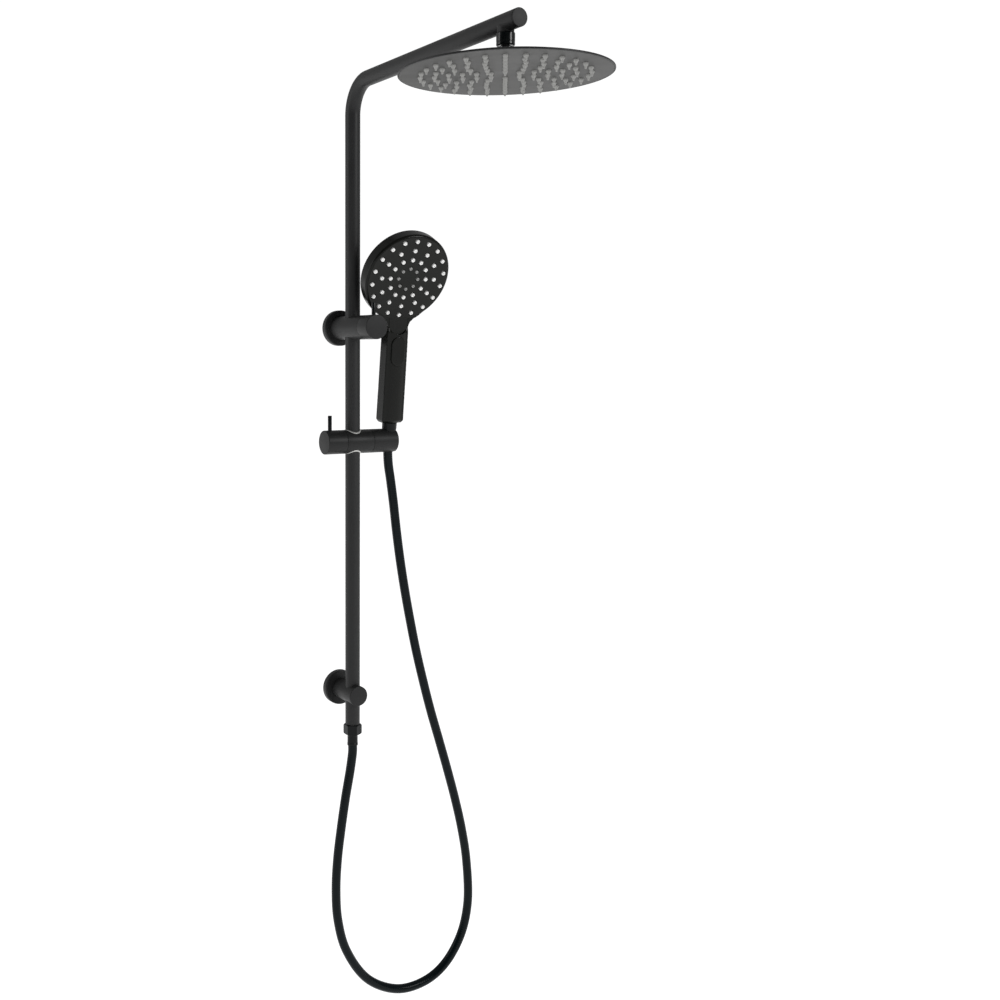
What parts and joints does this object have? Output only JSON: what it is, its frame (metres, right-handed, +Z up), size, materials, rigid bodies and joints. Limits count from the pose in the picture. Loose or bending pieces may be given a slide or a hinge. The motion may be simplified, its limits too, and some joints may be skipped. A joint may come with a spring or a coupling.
{
  "type": "rainfall shower column",
  "caption": "Wall-fed shower column: gooseneck riser with a tilting round rain head, diverter, sliding and tilting holder, hand shower and flexible hose.",
  "frame": {"origin": "centre of the wall inlet, on the wall plane", "axes": "+X to the right along the wall, +Y into the wall, +Z up; the front faces -Y"},
  "size_m": [0.3447, 0.556, 1.4065],
  "materials": {
    "black_metal": "matte black powder coat",
    "black_plastic": "matte black painted plastic",
    "face_grey": "matte dark grey spray face",
    "silicone_grey": "light grey silicone",
    "silicone_white": "white silicone",
    "silicone_mid": "mid grey silicone",
    "nylon": "natural nylon",
    "rubber": "black rubber",
    "brass": "turned brass",
    "steel": "bright steel",
    "ceramic": "ceramic and plastic cartridge",
    "hose_black": "smooth glossy black PVC hose",
    "gloss_black": "glossy black plated nut"
  },
  "bodies": {
    "root": {"riser_upper_tube": "black_metal", "arm_end_cap": "black_metal", "arm_outlet_stub": "black_metal", "flow_regulator": "nylon", "head_swivel_nut": "gloss_black", "riser_lower_tube": "black_metal", "diverter_body": "black_metal", "riser_oring_upper": "rubber", "riser_oring_lower": "rubber", "diverter_cartridge": "ceramic", "cartridge_nut": "brass", "upper_wall_flange": "black_metal", "upper_flange_gasket": "rubber", "inlet_union_nut": "brass", "inlet_washer": "rubber", "lower_bracket_body": "black_metal", "lower_wall_flange": "black_metal", "lower_wall_anchor": "steel", "lower_wall_screw": "steel", "bracket_grub_screw": "steel", "lower_riser_oring": "rubber", "outlet_spigot": "black_metal", "hose_nut_lower": "gloss_black", "hose_washer_lower": "rubber", "hose_ferrule_lower": "gloss_black", "shower_hose": "hose_black"},
    "swivel_ring": {"ball_seat_ring": "nylon"},
    "rain_head": {"swivel_ball": "steel", "rain_head_shell": "black_metal", "rain_head_face": "face_grey", "rain_head_nozzle_mat": "silicone_grey", "rain_head_seal": "rubber"},
    "diverter": {"diverter_knob": "black_metal", "diverter_pin": "black_metal", "diverter_stem": "brass", "knob_grub_screw": "steel"},
    "slider": {"slider_clamp": "black_plastic", "rail_bush": "nylon", "pivot_bolt": "steel", "friction_washer": "steel", "hose_upper_end": "hose_black"},
    "brake": {"brake_pad": "rubber"},
    "lock": {"lock_knob": "black_plastic", "lock_knob_pin": "black_metal", "lock_screw": "steel"},
    "cradle": {"holder_cradle": "black_plastic"},
    "handset": {"handset_shell": "black_plastic", "handset_core": "nylon", "handset_inlet": "black_plastic", "handset_face": "black_plastic", "handset_nozzle_mat": "silicone_white", "handset_inner_nozzles": "silicone_mid", "handset_backing_plate": "nylon", "hose_cone_nut": "gloss_black", "hose_ferrule_upper": "brass", "hose_washer_upper": "rubber", "button_spring": "steel"},
    "button": {"spray_button": "black_plastic"}
  },
  "joints": [
    {"name": "head_swivel", "type": "hinge", "parent": "root", "child": "swivel_ring", "pos_m": [0, -0.429, 0.327], "axis": [0, 0, 1], "continuous": true},
    {"name": "head_tilt", "type": "hinge", "parent": "swivel_ring", "child": "rain_head", "pos_m": [0, -0.429, 0.327], "axis": [1, 0, 0], "range_deg": [-12, 12]},
    {"name": "diverter_turn", "type": "hinge", "parent": "root", "child": "diverter", "pos_m": [0, -0.1, 0], "axis": [0, -1, 0], "range_deg": [-90, 90]},
    {"name": "rail_slide", "type": "slide", "parent": "root", "child": "slider", "axis": [0, 0, 1], "range_m": [-0.012, 0.12], "deforming": ["shower_hose"]},
    {"name": "lock_knob_turn", "type": "hinge", "parent": "slider", "child": "lock", "pos_m": [-0.032, -0.047, -0.168], "axis": [1, 0, 0], "range_deg": [0, 90]},
    {"name": "brake_pad_travel", "type": "slide", "parent": "slider", "child": "brake", "axis": [-1, 0, 0], "range_m": [0, 0.0008]},
    {"name": "holder_tilt", "type": "hinge", "parent": "slider", "child": "cradle", "pos_m": [0.048, -0.047, -0.168], "axis": [1, 0, 0], "range_deg": [-2, 20], "deforming": ["hose_upper_end"]},
    {"name": "handset_lift", "type": "slide", "parent": "cradle", "child": "handset", "axis": [0, -0.1132, 0.9936], "range_m": [0, 0.026]},
    {"name": "spray_button_push", "type": "slide", "parent": "handset", "child": "button", "axis": [0, 0.9936, 0.1132], "range_m": [0, 0.002], "stiffness_N_per_m": 800, "springref_m": -0.001, "deforming": ["button_spring"]}
  ],
  "couplings": [
    {"joint": "brake_pad_travel", "follows": "lock_knob_turn", "m_per_rad": 0.000477}
  ]
}
